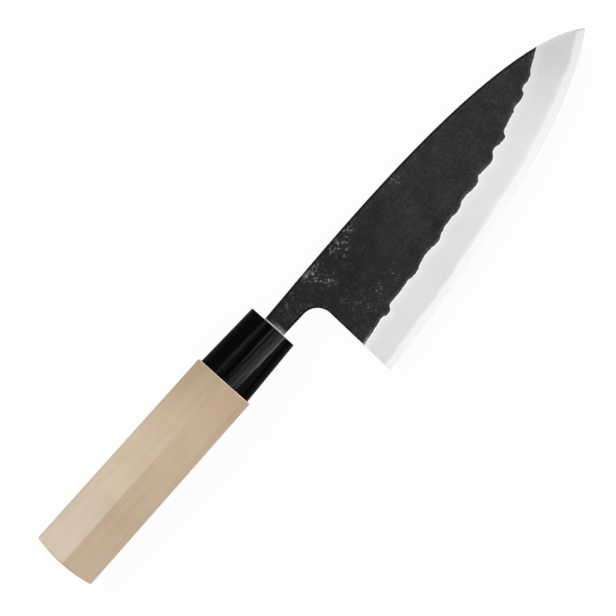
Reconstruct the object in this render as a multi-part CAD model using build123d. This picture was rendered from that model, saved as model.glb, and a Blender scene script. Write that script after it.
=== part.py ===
from build123d import *
import math
import os

# Deba knife, single bevel, for the right hand. Millimetres and degrees.
# While it is modelled, X runs along the handle towards the tip from the front
# of the ferrule, Y points at the spine, and Z at the bevelled front of the blade.
# At the end everything moves so that the origin is under the middle of the knife.

# Blade, seen from the front
blade_length = 161.9        # heel to tip, along the handle
neck_length = 20.5          # ferrule to the heel line, at the height of the neck
heel_depth = 48.9           # heel below the handle's axis
tip_depth = 14.4            # tip below the handle's axis
spine_height = 4.76         # spine above the handle's axis, at the ferrule
neck_depth = 5.75           # underside of the neck below the handle's axis
neck_slope = 1.6            # how the underside of the neck drops, degrees
heel_lean = 1.8             # heel line from the upright, degrees
choil_radius = 7.8
bevel_width = 15.6          # grind, measured up from the heel

# The spine, the edge and the grind line are curves through four poles. A pole
# stands at a share of the way from the curve's start to its end, along the blade
# and then across it.
spine_shares = ((0.2904, -0.0767), (0.8440, -0.2808))
edge_shares = ((0.5717, 0.2014), (0.8053, 0.4081))
grind_shares = ((0.5925, 0.2725), (0.8098, 0.3940))
grind_end_share = 0.944     # where the grind line would end, as a share of the length
grind_rise_share = 1.071    # and its height there, as a share of heel to handle axis
patch_shares = (-0.08, 1.05)
rise_shares = (-0.30, 1.30)

# Blade, through its thickness
back_offset = 3.0           # flat back behind the handle's axis
blade_thickness = 6.0       # at the ferrule
tip_thickness = 1.9         # flat of the front, carried on to the tip
flat_fall = 0.30            # front flat is thinner at the grind line than at the spine
grind_land = 0.18           # edge before it is honed
edge_land = 0.10            # edge once it is honed
honing_angle = 28.0
front_round = 0.6           # eased front edges of spine, neck and heel
steel_neck = 1.55           # hard steel layer at the ferrule
steel_tip = 0.70            # hard steel layer at the tip
steel_start = 6.0           # hard steel begins this far in front of the ferrule
steel_scarf = 7.0           # and comes up to its full thickness over this length

# Hollow of the back
hollow_depth = 0.6
rim_spine = 3.2
rim_edge = 2.0
hollow_shares = ((0.02, 0.10), (0.10, 0.72), (0.30, 1.00), (0.58, 0.88), (0.80, 0.52), (0.93, 0.08))

# Tang, and what holds it
tang_length = 96.0
tang_height = 8.0
tang_thickness = 4.6
tang_end_height = 3.6
tang_end_thickness = 2.6
tang_corner = 0.6
tang_point = 5.0
tang_point_share = 0.45     # size of its end, against the bar where the point begins
bedding_gap = 0.7
bedding_recess = 0.4

# Wooden handle: chestnut section, whose facets and ridge die out towards the ferrule
wood_length = 101.0
butt_height = 29.6
butt_thickness = 23.5
facet_slope = 24.0
facet_corner = 5.0          # the same all along, from facet to side
facet_ridge = 1.4
wood_front_height = 28.5
wood_front_thickness = 22.5
wood_front_slope = 8.0
wood_front_ridge = 20.0
dome_radius = 65.0
dome_rise = 1.65
butt_round = 0.5
butt_band = 6.0             # last of the length, behind the long even part
wood_chamfer = 0.4
fade_length = 78.0          # of the wood, from its front, over which the facets flatten
fade_steps = 4              # sections in which they do
ridge_power = 4             # the ridge stays crisp for most of that, and is rounded off late
back_turn = 50.0            # the middle arc of the back spans this on each side, degrees
back_flat = 0.25            # least flat left in the middle of the back and up its sides

# Ferrule, and the tenon in it
ferrule_length = 30.6
ferrule_rear_height = 25.8
ferrule_rear_thickness = 20.3
ferrule_front_height = 23.4
ferrule_front_thickness = 18.5
ferrule_slope = 12.0
ferrule_corner = 7.5
ferrule_ridge = 18.0
ferrule_chamfer = 0.35
ferrule_wall = 3.2
tenon_fit = 0.05

overrun = 1.0               # how far a cut runs past what it cuts


def blend(start, end, share):
    return start + (end - start) * share


def poles(start, end, shares):
    """Four poles of a curve: the two ends, and two at shares of the way between."""
    inner = [(blend(start[0], end[0], a), blend(start[1], end[1], b)) for a, b in shares]
    return [start, *inner, end]


def blossom(points, shares):
    """Pole of a cubic curve, which is met by blending its poles once per share."""
    for share in shares:
        points = [tuple(blend(p, q, share) for p, q in zip(a, b)) for a, b in zip(points, points[1:])]
    return points[0]


def stretched(points, first, last):
    """Poles of the same curve from one share of its run to another, also past its ends."""
    return [blossom(points, [last] * n + [first] * (3 - n)) for n in range(4)]


def height_at(points, x):
    """Height of an outline curve at x, found by halving the run that holds it."""
    low, high = 0.0, 1.0
    for _ in range(40):
        middle = (low + high) / 2
        low, high = (middle, high) if blossom(points, [middle] * 3)[0] < x else (low, middle)
    return blossom(points, [low] * 3)[1]


# Outline of the blade
tip_x = neck_length - (heel_depth - neck_depth) * math.tan(math.radians(heel_lean)) + blade_length
tip = (tip_x, -tip_depth)
heel = (tip_x - blade_length, -heel_depth)
neck_top = (0, spine_height)
neck_bottom = (0, -neck_depth)
choil_corner = (neck_length, -neck_depth - neck_length * math.tan(math.radians(neck_slope)))
grind_start = (heel[0] + bevel_width * math.tan(math.radians(heel_lean)), bevel_width - heel_depth)
grind_rise = (heel_depth - bevel_width) * grind_rise_share
grind_end = (blend(heel[0], tip_x, grind_end_share), grind_start[1] + grind_rise)
spine_poles = poles(neck_top, tip, spine_shares)
edge_poles = poles(heel, tip, edge_shares)
grind_poles = poles(grind_start, grind_end, grind_shares)
back_z = -back_offset


def front_z(point):
    """Height of the front flat: a plane that falls towards the tip and the grind line."""
    along = blend(blade_thickness, tip_thickness, point[0] / tip_x)
    across = flat_fall * (spine_height - point[1]) / (spine_height - grind_start[1])
    return back_z + along - across


def ground_away(land, heights):
    """What a grind takes off: all above the straight rulings from the edge to the grind line."""
    bottom = [(x, y, back_z + land) for x, y in edge_poles]
    top = [(x, y, z) for (x, y), z in zip(grind_poles, heights)]
    rows = []
    for share in rise_shares:
        row = [tuple(blend(p, q, share) for p, q in zip(a, b)) for a, b in zip(bottom, top)]
        rows.append(stretched(row, *patch_shares))
    return extrude(Face.make_bezier_surface(rows), amount=blade_thickness * 2, dir=(0, 0, 1))


def blade_blank():
    """Blade and neck: the outline, thinned to the front flat, eased, then ground and honed."""
    outline = [
        Bezier(*spine_poles),
        Bezier(*reversed(edge_poles)),
        FilletPolyline(heel, choil_corner, neck_bottom, radius=choil_radius),
        Line(neck_bottom, neck_top),
    ]
    blank = extrude(Plane.XY.offset(back_z) * make_face(outline), blade_thickness)
    corner = Vector(0, 0, front_z((0, 0)))
    forward = Vector(tip_x, 0, front_z((tip_x, 0))) - corner
    upward = Vector(0, spine_height, front_z((0, spine_height))) - corner
    blank = split(blank, bisect_by=Plane(corner, z_dir=forward.cross(upward)), keep=Keep.BOTTOM)
    front = blank.faces().sort_by(Axis.Z)[-1]
    blank = fillet(front.edges().filter_by(is_eased), front_round)
    ground = [front_z(pole) for pole in grind_poles]
    honed_rise = edge_land + bevel_width * math.tan(math.radians(honing_angle))
    honed = [back_z + honed_rise for pole in grind_poles]
    return blank - ground_away(grind_land, ground) - ground_away(edge_land, honed)


def is_eased(rim):
    """True for a rim of the front flat that is neither the cutting edge nor the ferrule's seat."""
    middle = rim.position_at(0.5)
    above_edge = middle.Y - height_at(edge_poles, middle.X) > front_round
    return middle.X > front_round and (above_edge or middle.X < heel[0])


def hollow():
    """Shallow hollow of the back: arcs across the blade, lofted along it."""
    sections = []
    for along, depth_share in hollow_shares:
        x = blend(neck_length, tip_x, along)
        low = height_at(edge_poles, x) + rim_edge
        high = height_at(spine_poles, x) - rim_spine
        top = back_z + hollow_depth * depth_share
        arc = ThreePointArc((low, back_z), ((low + high) / 2, top), (high, back_z))
        skirt = Polyline((high, back_z), (high, back_z - overrun), (low, back_z - overrun), (low, back_z))
        sections.append(Plane.YZ.offset(x) * make_face([arc, skirt]))
    return loft(sections)


def steel_region():
    """Room of the hard steel: the back of the blade, under a sloping weld that starts in the neck."""
    full_x = steel_start + steel_scarf
    end_x = tip_x + overrun
    full_z = back_z + blend(steel_neck, steel_tip, full_x / tip_x)
    end_z = back_z + blend(steel_neck, steel_tip, end_x / tip_x)
    low_z = back_z - overrun
    weld = [(steel_start, back_z), (full_x, full_z), (end_x, end_z)]
    side = Polyline(*weld, (end_x, low_z), (steel_start, low_z), close=True)
    return extrude(Plane.XZ * make_face(side), heel_depth + overrun, both=True)


def tang_section(x, grow, size_share=1):
    """Section of the tang across X, made larger all round by grow."""
    share = -x / tang_length
    height = blend(tang_height, tang_end_height, share) * size_share + grow * 2
    thickness = blend(tang_thickness, tang_end_thickness, share) * size_share + grow * 2
    return Plane.YZ.offset(x) * RectangleRounded(height, thickness, tang_corner * size_share)


def tang():
    """Tang: a tapered bar with a blunt point."""
    point_x = tang_point - tang_length
    bar = loft([tang_section(0, 0), tang_section(point_x, 0)], ruled=True)
    point = loft([tang_section(point_x, 0), tang_section(-tang_length, 0, tang_point_share)], ruled=True)
    return bar + point


def corner_height(height, thickness, slope, corner, ridge):
    """Height of the centres of the corner arcs, from the point where the facets would meet."""
    cosine = math.cos(math.radians(slope))
    apex = thickness / 2 + ridge * (1 / cosine - 1)
    return apex - (height / 2 - corner) * math.tan(math.radians(slope)) - corner / cosine


def back_radii(sizes):
    """Radii of the side and middle arcs of the back, which all sections of a piece share."""
    half = min(size[0] for size in sizes) / 2 - back_flat
    depth = min(corner_height(*size) + size[1] / 2 for size in sizes) - back_flat
    sine = math.sin(math.radians(back_turn))
    cosine = math.cos(math.radians(back_turn))
    side = (depth * sine - half * (1 - cosine)) / (sine + cosine - 1)
    return side, side + (half - side) / sine


def grip_section(x, size, radii, inset=0):
    """Chestnut section across X. Its right half runs from the middle of the back: a short flat,
    two arcs, a short flat up the side, the corner, the facet and half of the rounded ridge, each
    tangent to the next."""
    height, thickness, slope, corner, ridge = size
    side, back = radii
    half = height / 2
    top = thickness / 2
    turn = math.radians(back_turn)
    side_at = Vector(half - side, back - top - (back - side) * math.cos(turn))
    back_at = Vector(half - side - (back - side) * math.sin(turn), back - top)
    corner_at = Vector(half - corner, corner_height(*size))
    ridge_at = Vector(0, top - ridge)
    upright = Vector(math.sin(math.radians(slope)), math.cos(math.radians(slope)))
    right = [
        Line((0, inset - top), (back_at.X, inset - top)),
        CenterArc(back_at, back - inset, 270, back_turn),
        CenterArc(side_at, side - inset, 270 + back_turn, 90 - back_turn),
        Line((half - inset, side_at.Y), (half - inset, corner_at.Y)),
        CenterArc(corner_at, corner - inset, 0, 90 - slope),
        Line(corner_at + upright * (corner - inset), ridge_at + upright * (ridge - inset)),
        CenterArc(ridge_at, ridge - inset, 90 - slope, slope),
    ]
    left = [mirror(piece, Plane.YZ) for piece in right]
    return Plane.YZ.offset(x) * make_face([*right, *left])


def grip_piece(stations, chamfer):
    """Ruled loft through chestnut sections, from the rear forward, with a chamfered front."""
    *rear, (front_x, front) = stations
    radii = back_radii([size for x, size in stations])
    sections = [grip_section(x, size, radii) for x, size in [*rear, (front_x - chamfer, front)]]
    return loft([*sections, grip_section(front_x, front, radii, chamfer)], ruled=True)


facets = (facet_slope, facet_corner, facet_ridge)
wood_front = (wood_front_height, wood_front_thickness, wood_front_slope, facet_corner, wood_front_ridge)
ferrule_rear = (ferrule_rear_height, ferrule_rear_thickness, ferrule_slope, ferrule_corner, ferrule_ridge)
ferrule_front = (ferrule_front_height, ferrule_front_thickness, ferrule_slope, ferrule_corner, ferrule_ridge)
bore_size = (ferrule_front_height / 2 - ferrule_wall, ferrule_front_thickness / 2 - ferrule_wall)
joint_x = -ferrule_length
butt_x = joint_x - wood_length - dome_rise


def tenon(grow, length):
    """Oval spigot from the joint to the front of the ferrule."""
    oval = Ellipse(bore_size[0] + grow, bore_size[1] + grow)
    return extrude(Plane.YZ.offset(joint_x) * oval, length)


def ferrule():
    """Black ring, tapered, with a straight oval bore."""
    ring = grip_piece([(joint_x, ferrule_rear), (0, ferrule_front)], ferrule_chamfer)
    return ring - tenon(0, ferrule_length)


def socket():
    """Tapered socket for the tang and its bedding, a little longer than the tang."""
    end_x = -tang_length - bedding_gap
    return loft([tang_section(0, bedding_gap), tang_section(end_x, bedding_gap)], ruled=True)


def wooden_handle():
    """Handle of pale wood: grip, domed butt, and the tenon with the tang's socket."""
    stations = []
    fade_x = joint_x - fade_length
    for x in (butt_x - overrun, butt_x + butt_band, fade_x):
        share = (x - butt_x) / (joint_x - butt_x)
        height = blend(butt_height, wood_front_height, share)
        thickness = blend(butt_thickness, wood_front_thickness, share)
        stations.append((x, (height, thickness, *facets)))
    even = stations[-1][1]
    for step in range(1, fade_steps + 1):
        share = step / fade_steps
        size = [blend(e, f, share) for e, f in zip(even, wood_front)]
        size[-1] = blend(facet_ridge, wood_front_ridge, share**ridge_power)
        stations.append((blend(fade_x, joint_x, share), size))
    grip = grip_piece(stations, wood_chamfer)
    ball = Pos(butt_x + dome_radius, 0, 0) * Sphere(dome_radius)
    block = Pos(butt_x, 0, 0) * Box((dome_rise + overrun) * 2, butt_height * 2, butt_height * 2)
    grip = grip - (block - ball)
    grip = fillet(grip.faces().sort_by(Axis.X)[0].edges(), butt_round)
    grip = grip + tenon(-tenon_fit, ferrule_length)
    return grip - socket()


def tang_bedding():
    """Resin round the tang, which fills the socket to just below its mouth."""
    mouth = Plane.YZ.offset(-bedding_recess) * Circle(tang_height)
    return socket() - tang() - extrude(mouth, bedding_recess)


blade = blade_blank()
steel = steel_region()
pieces = {
    "soft_iron_body": (blade - steel) + tang(),
    "hard_steel_layer": (blade & steel) - hollow(),
    "ferrule": ferrule(),
    "wooden_handle": wooden_handle(),
    "tang_bedding": tang_bedding(),
}

whole = Compound(children=[Part(piece.wrapped) for piece in pieces.values()]).bounding_box()
home = Pos(-whole.center().X, -whole.center().Y, -whole.min.Z)

os.makedirs("parts", exist_ok=True)
for name, piece in pieces.items():
    export_step(home * piece, f"parts/{name}.step")
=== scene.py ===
import math

import bmesh
import bpy
import numpy as np
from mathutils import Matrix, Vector


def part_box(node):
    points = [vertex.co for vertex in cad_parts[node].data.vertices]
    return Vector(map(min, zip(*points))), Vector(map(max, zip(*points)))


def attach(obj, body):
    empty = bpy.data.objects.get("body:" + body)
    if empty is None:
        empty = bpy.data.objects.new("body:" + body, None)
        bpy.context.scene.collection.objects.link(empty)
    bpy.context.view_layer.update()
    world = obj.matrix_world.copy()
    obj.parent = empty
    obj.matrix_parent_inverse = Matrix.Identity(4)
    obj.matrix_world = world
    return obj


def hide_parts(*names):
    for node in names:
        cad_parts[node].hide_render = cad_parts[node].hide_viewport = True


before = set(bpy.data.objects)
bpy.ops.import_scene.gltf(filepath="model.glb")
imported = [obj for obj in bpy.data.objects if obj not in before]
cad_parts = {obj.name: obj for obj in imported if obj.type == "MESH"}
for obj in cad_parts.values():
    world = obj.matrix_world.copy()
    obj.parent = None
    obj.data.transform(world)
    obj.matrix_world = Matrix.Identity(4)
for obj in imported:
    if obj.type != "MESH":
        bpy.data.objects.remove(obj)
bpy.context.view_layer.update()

# Deba knife. Sizes are in millimetres and degrees. While a shape is worked out, x runs from the
# front of the ferrule to the tip, y from the handle's axis to the spine, and z from the handle's
# axis to the side where the blade has its bevel.

# Blade
blade_length = 161.9
neck_length = 20.5
heel_depth = 48.9
tip_depth = 14.4
spine_height = 4.76
neck_depth = 5.75
neck_slope = 1.6
heel_lean = 1.8
choil_radius = 7.8
bevel_width = 15.6
spine_shares = ((0.2904, -0.0767), (0.8440, -0.2808))
edge_shares = ((0.5717, 0.2014), (0.8053, 0.4081))
grind_shares = ((0.5925, 0.2725), (0.8098, 0.3940))
grind_end_share = 0.944
grind_rise_share = 1.071
back_offset = 3.0
blade_thickness = 6.0
tip_thickness = 1.9
flat_fall = 0.30
grind_land = 0.18
edge_land = 0.10
honing_angle = 28.0
front_round = 0.6
spine_round_share = 0.4
rim_round_share = 0.35
steel_neck = 1.55
steel_tip = 0.70
steel_start = 6.0
steel_scarf = 7.0

# Hollow of the back: its depth and the flat rims beside it, how deep it is along the blade, and
# between which places past the neck it begins
hollow_depth = 0.6
rim_spine = 3.2
rim_edge = 2.0
hollow_shares = ((0.0, 0.0), (0.10, 0.72), (0.30, 1.00), (0.58, 0.88), (0.80, 0.52), (0.95, 0.0))
hollow_start = (0.6, 7.5)
hollow_samples = 800
hollow_softening = 45

# Dents of the hammer on the front: the area they are strewn over, how far apart, how far each is
# shaken from its place, and the least and most of their widths and depths
dent_area = ((-4, 182), (-48, 12))
dent_spacing = 8.5
dent_shake = 3.2
dent_widths = (2.6, 4.4)
dent_depths = (0.02, 0.13)

# Waves of the forged skin: radians per millimetre along x and y, phase and height
skin_waves = (
    (0.9, 0.5, 0.0, 0.012), (-0.6, 1.1, 1.3, 0.012), (1.7, -0.8, 2.1, 0.007), (0.3, 2.1, 0.4, 0.006),
)

# How the border of the scale wanders about the grind line, hammer mark by hammer mark: places
# along the blade, and how far above the line the border is there
border_marks = (
    (19.0, -0.6), (20.8, -0.35), (26.0, -0.15), (32.3, 0.42), (33.9, 0.1), (35.4, -0.75), (37.6, -1.05),
    (38.3, -0.5), (39.2, 0.66), (41.0, 0.83), (45.0, 0.52), (48.5, 0.35), (52.2, 0.48), (54.0, -0.15),
    (56.6, -0.6), (58.8, -0.4), (60.0, 0.15), (64.2, 0.62), (67.0, 0.45), (70.0, -0.22), (72.6, -0.66),
    (74.4, -0.6), (76.0, 0.08), (79.5, 0.64), (84.5, 0.3), (87.4, -0.42), (89.6, -0.24), (92.2, 0.66),
    (95.6, 0.28), (98.5, -0.6), (101.0, -0.97), (102.8, -0.8), (104.8, 0.5), (108.0, -0.35),
    (111.5, -1.2), (113.6, -1.12), (115.0, -0.45), (116.6, 0.72), (118.4, 0.6), (120.3, -0.5),
    (122.8, -1.1), (124.3, -1.18), (125.2, 0.2), (126.6, 0.68), (134.0, 0.64), (134.7, 0.2),
    (135.5, 0.95), (137.2, 0.78), (139.6, -0.1), (143.0, -0.5), (144.2, 0.98), (146.0, 0.92),
    (148.0, -0.05), (150.4, -0.42), (152.6, 0.3), (156.0, 0.35), (162.0, 0.14), (185.0, 0.0),
)
border_step = 0.1
border_softening = 9

# Crumbling of that border, by its spacing and reach, and waves of the weld, by their share of the
# bevel's width, length and phase; the weld starts even over a short run from the heel
border_crumbs = ((0.5, 0.06), (1.4, 0.08))
weld_waves = ((0.012, 5.1, 0.0), (0.009, 2.3, 1.0))
weld_run = 6.0

# Where the columns of the front's flat meet the spine: the first ones run straight across, those
# from the end of the neck and of the choil meet it at these places, and those from the heel lean
# towards the tip by the lead. The flat dips to the grind over the dip's reach.
even_x = 8.0
neck_spine_x = 14.5
choil_spine_x = 25.5
lead = 18.5
lead_power = 1.5
dip_reach = 4.2

# Handle and ferrule. A section has its height and thickness, the slope of its facets, and the
# radii of its corners and of its ridge.
wood_length = 101.0
butt_section = (29.6, 23.5, 24.0, 5.0, 1.4)
joint_section = (28.5, 22.5, 8.0, 5.0, 20.0)
dome_radius = 65.0
dome_rise = 1.65
butt_round = 0.5
wood_chamfer = 0.4
fade_length = 78.0
ridge_power = 4
back_turn = 50.0
back_flat = 0.25
ferrule_length = 30.6
ferrule_rear_section = (25.8, 20.3, 12.0, 7.5, 18.0)
ferrule_front_section = (23.4, 18.5, 12.0, 7.5, 18.0)
ferrule_chamfer = 0.35
ferrule_rear_round = 0.15
ferrule_wall = 3.2
tenon_fit = 0.05
tang_length = 96.0
tang_size = (8.0, 4.6)
tang_end_size = (3.6, 2.6)
tang_corner = 0.6
tang_point = 5.0
tang_point_share = 0.45
tang_overlap = 1.0
bedding_gap = 0.7
mouth_power = 7.0

# How finely the surfaces are divided: samples along curves, rows and columns, and the shares at
# which the rows of a small face lie
outline_samples = 4000
ruling_samples = 3000
ruling_reach = 1.4
halvings = 45
flat_rows = 84
row_crowding = 1.1
bevel_rows = 36
strip_rows = 12
honed_rows = 3
round_rows = 6
wall_rows = 4
back_rows = 56
scarf_columns, neck_columns, choil_columns, heel_columns = 12, 14, 26, 44
border_columns = 400
tip_columns = 45
tang_rows = 12
tang_corner_points = 7
arc_back, arc_side, arc_corner, on_facet, arc_ridge = 22, 18, 14, 18, 8
dome_rows, rim_rows, tenon_rows, socket_rows = 15, 5, 7, 13
side_runs = ((0.0, 0.05, 3), (0.05, 0.7, 33), (0.7, 1.0, 35))
grip_stations = 40
ferrule_round_rows, ferrule_side_rows = 5, 39
face_shares = (0.35, 0.7, 1.0)
halves = (0.5, 1.0)

# A mark's value far from what it marks, and how close places are that count as one
far = 30.0
tiny = 1e-6
same_digits = 5
seed = 7
metre = 0.001
ferrule_low, ferrule_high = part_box("ferrule")
steel_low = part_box("hard_steel_layer")[0]
home = np.array([
    ferrule_high.x / metre,
    (ferrule_low.y + ferrule_high.y) / 2 / metre,
    steel_low.z / metre + back_offset,
])


def blend(start, end, share):
    """Share of the way from start to end."""
    return start + (end - start) * share


def ramp(count):
    """Even shares from 0 to 1, a given number of steps apart."""
    return np.linspace(0, 1, count + 1)


def steps(start, end, count):
    """Where each of some even steps from start to end arrives."""
    return np.linspace(start, end, count + 1)[1:]


def span(ways):
    """Length of each of some vectors."""
    return np.linalg.norm(ways, axis=-1)


def unit(ways):
    """Each of some vectors, given the length 1."""
    return ways / span(ways)[..., None]


def joined(*runs):
    """Runs of places or rows, one after another."""
    return np.concatenate(runs)


def softened(samples, width, mode):
    """Samples, each averaged with its neighbours under a bell some samples wide."""
    bell = np.hanning(width)
    return np.convolve(samples, bell / bell.sum(), mode=mode)


def smooth(value, low, high):
    """0 below low, 1 above high, and a smooth step between them."""
    share = np.clip((value - low) / (high - low), 0, 1)
    return share * share * (3 - 2 * share)


def tangent(angle):
    """Tangent of an angle in degrees."""
    return math.tan(math.radians(angle))


def poles(start, end, shares):
    """Four poles of a curve: the two ends, and two at shares of the way between."""
    inner = [(blend(start[0], end[0], a), blend(start[1], end[1], b)) for a, b in shares]
    return np.array([start, *inner, end])


def curve(four, share):
    """Points of a cubic curve: its four poles, each weighed by its Bernstein share."""
    t = np.asarray(share, float)[..., None]
    weights = ((1 - t) ** 3, 3 * t * (1 - t) ** 2, 3 * t**2 * (1 - t), t**3)
    return sum(weight * pole for weight, pole in zip(weights, four))


def height_on(line, x):
    """y of a line at x."""
    return np.interp(x, line[:, 0], line[:, 1])


# Outline of the blade
tip_x = neck_length - (heel_depth - neck_depth) * tangent(heel_lean) + blade_length
tip = (tip_x, -tip_depth)
heel = (tip_x - blade_length, -heel_depth)
neck_bottom = (0, -neck_depth)
choil_corner = (neck_length, -neck_depth - neck_length * tangent(neck_slope))
grind_start = (heel[0] + bevel_width * tangent(heel_lean), bevel_width - heel_depth)
grind_rise = (heel_depth - bevel_width) * grind_rise_share
grind_end = (blend(heel[0], tip_x, grind_end_share), grind_start[1] + grind_rise)
spine_poles = poles((0, spine_height), tip, spine_shares)
edge_poles = poles(heel, tip, edge_shares)
grind_poles = poles(grind_start, grind_end, grind_shares)
back_z = -back_offset

spine_line, edge_line = (curve(four, ramp(outline_samples)) for four in (spine_poles, edge_poles))


def spine_at(x):
    """Points of the spine at x, and their normals away from the blade."""
    run = unit(np.gradient(spine_line, axis=0))
    normal = [np.interp(x, spine_line[:, 0], side) for side in (-run[:, 1], run[:, 0])]
    return np.stack([x, height_on(spine_line, x)], -1), np.stack(normal, -1)


def front_z(points):
    """Height of the front flat: a plane that falls towards the tip and the grind line."""
    along = blend(blade_thickness, tip_thickness, points[..., 0] / tip_x)
    across = flat_fall * (spine_height - points[..., 1]) / (spine_height - grind_start[1])
    return back_z + along - across


def weld_z(x):
    """Height of the weld between iron and steel: from the back at the neck up a scarf, and then
    a plane that falls towards the tip."""
    full = back_z + blend(steel_neck, steel_tip, x / tip_x)
    return blend(back_z, full, np.clip((x - steel_start) / steel_scarf, 0, 1))


def hammer_marks(points):
    """Depth of the hammer's shallow dents: bell curves about places on a shaken grid."""
    rng = np.random.default_rng(seed)
    x, y = np.meshgrid(*(np.arange(*ends, dent_spacing) for ends in dent_area))
    x, y = (side.ravel() + rng.uniform(-dent_shake, dent_shake, side.size) for side in (x, y))
    wide = rng.uniform(*dent_widths, x.size)
    deep = rng.uniform(*dent_depths, x.size)
    depth = np.zeros(points.shape[:-1])
    for at_x, at_y, width, most in zip(x, y, wide, deep):
        away = (points[..., 0] - at_x) ** 2 + (points[..., 1] - at_y) ** 2
        depth += most * np.exp(-away / (2 * width**2))
    return depth


def forge_skin(points):
    """Small unevenness of the forged skin: a few crossing waves of different lengths."""
    x, y = points[..., 0], points[..., 1]
    return sum(height * np.sin(a * x + b * y + phase) for a, b, phase, height in skin_waves)


# The choil: the arc between the neck and the heel line
toward_neck, toward_heel = (unit(np.array(end) - choil_corner) for end in (neck_bottom, heel))
opening = math.acos(toward_neck @ toward_heel)
middle = unit(toward_neck + toward_heel)
choil_centre = choil_corner + middle * choil_radius / math.sin(opening / 2)
choil_reach = choil_radius / math.tan(opening / 2)
choil_ends = [choil_corner + way * choil_reach - choil_centre for way in (toward_neck, toward_heel)]
choil_angles = [math.atan2(end[1], end[0]) for end in choil_ends]


def lower_rim():
    """Points from the ferrule along the neck, round the choil and down the heel line to the bevel,
    and their normals away from the blade."""
    neck_end = choil_centre[0] + choil_ends[0][0]
    scarf_x = np.linspace(0, steel_start, scarf_columns + 1)
    neck_x = joined(scarf_x, steps(steel_start, neck_end, neck_columns))
    neck = np.stack([neck_x, -neck_depth - neck_x * tangent(neck_slope)], -1)
    turn = steps(*choil_angles, choil_columns)
    ray = np.stack([np.cos(turn), np.sin(turn)], -1)
    choil = choil_centre + ray * choil_radius
    heel_line = blend(choil[-1], border[0, :2], steps(0, 1, heel_columns)[:, None])
    down = np.array([math.sin(math.radians(-neck_slope)), -1.0])
    back = np.array([-1.0, tangent(heel_lean)])
    normals = joined(np.tile(down, (len(neck), 1)), -ray, np.tile(back, (len(heel_line), 1)))
    return joined(neck, choil, heel_line), unit(normals)


def rulings(u):
    """Ends of the straight rulings of the bevel, from the edge up to the grind line."""
    foot, top = curve(edge_poles, u), curve(grind_poles, u)
    low = np.full(len(u), back_z + grind_land)
    return np.column_stack([foot, low]), np.column_stack([top, front_z(top)])


def share_at_spine(foot, top):
    """Share of each ruling at which it meets the spine, found by halving."""
    low, high = np.zeros(len(foot)), np.full(len(foot), ruling_reach)
    for _ in range(halvings):
        half = (low + high) / 2
        at = blend(foot, top, half[:, None])
        below = at[:, 1] < height_on(spine_line, at[:, 0])
        low, high = np.where(below, half, low), np.where(below, high, half)
    return low


def share_at_border(foot, top):
    """Share of each ruling at which the scale begins: the grind line, moved by the hammer marks."""
    places, rises = np.array(border_marks).T
    dense = np.arange(places[0], places[-1], border_step)
    line = softened(np.interp(dense, places, rises), border_softening, "same")
    rng = np.random.default_rng(seed)
    for step, most in border_crumbs:
        knots = np.arange(places[0], places[-1], step)
        line = line + np.interp(dense, knots, rng.uniform(-most, most, len(knots)))
    return 1 + np.interp(top[:, 0], dense, line) / span((top - foot)[:, :2])


def share_at_weld(foot, top):
    """Share of each ruling at which it meets the weld of the two metals."""
    fall = (steel_tip - steel_neck) / tip_x
    start = back_z + steel_neck + fall * foot[:, 0] - foot[:, 2]
    share = start / (top[:, 2] - foot[:, 2] - fall * (top[:, 0] - foot[:, 0]))
    wander = sum(reach * np.sin(foot[:, 0] / length + phase) for reach, length, phase in weld_waves)
    return share + wander * smooth(foot[:, 0] - heel[0], 0, weld_run)


def crossed_rulings(u):
    """Ends of the rulings at u, and their shares at the spine, the border and the weld, of which
    the last two stop at the spine."""
    foot, top = rulings(u)
    at_spine = share_at_spine(foot, top)
    shares = (np.minimum(share_at(foot, top), at_spine) for share_at in (share_at_border, share_at_weld))
    return foot, top, at_spine, *shares


# Where along the edge, as a share of its curve, the scale and the iron end, past its middle
u_fine = ramp(ruling_samples)
foot, top, at_spine, at_border, at_weld = crossed_rulings(u_fine)
u_scale, u_iron = (u_fine[np.argmax((at == at_spine) & (u_fine > 0.5))] for at in (at_border, at_weld))
border_x = blend(foot, top, at_border[:, None])[:, 0]
places = np.linspace(border_x[0], np.interp(u_scale, u_fine, border_x), border_columns)
u_border = np.interp(places, np.maximum.accumulate(border_x), u_fine)
u_border[0], u_border[-1] = 0, u_scale
u_iron_bevel = joined(u_border, steps(u_scale, u_iron, tip_columns))
u_edge = joined(u_iron_bevel, steps(u_iron, 1, tip_columns))
n_bevel = len(u_iron_bevel)

# The rulings at the columns of the bevel
foot, top, at_spine, at_border, at_weld = crossed_rulings(u_edge)
at_border[border_columns - 1:] = at_spine[border_columns - 1:]
at_weld[n_bevel - 1:] = at_spine[n_bevel - 1:]


def along(share):
    """The points at a share of each ruling."""
    return blend(foot, top, share[:, None])


border = along(at_border)[:border_columns]
weld = along(at_weld)
weld_iron = weld[:n_bevel]


def rows_between(start, end, shares):
    """Rows of points, at shares of the way from one row of points to another."""
    return blend(start[None], end[None], np.asarray(shares)[:, None, None])


def row_at(x, y, z):
    """Rows of points from their places along x and across."""
    return np.stack([np.broadcast_to(x, y.shape), y, z], -1)


def raised(points, z):
    """Flat points, given a height."""
    return np.concatenate([points, np.broadcast_to(z, points.shape[:-1])[..., None]], -1)


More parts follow.
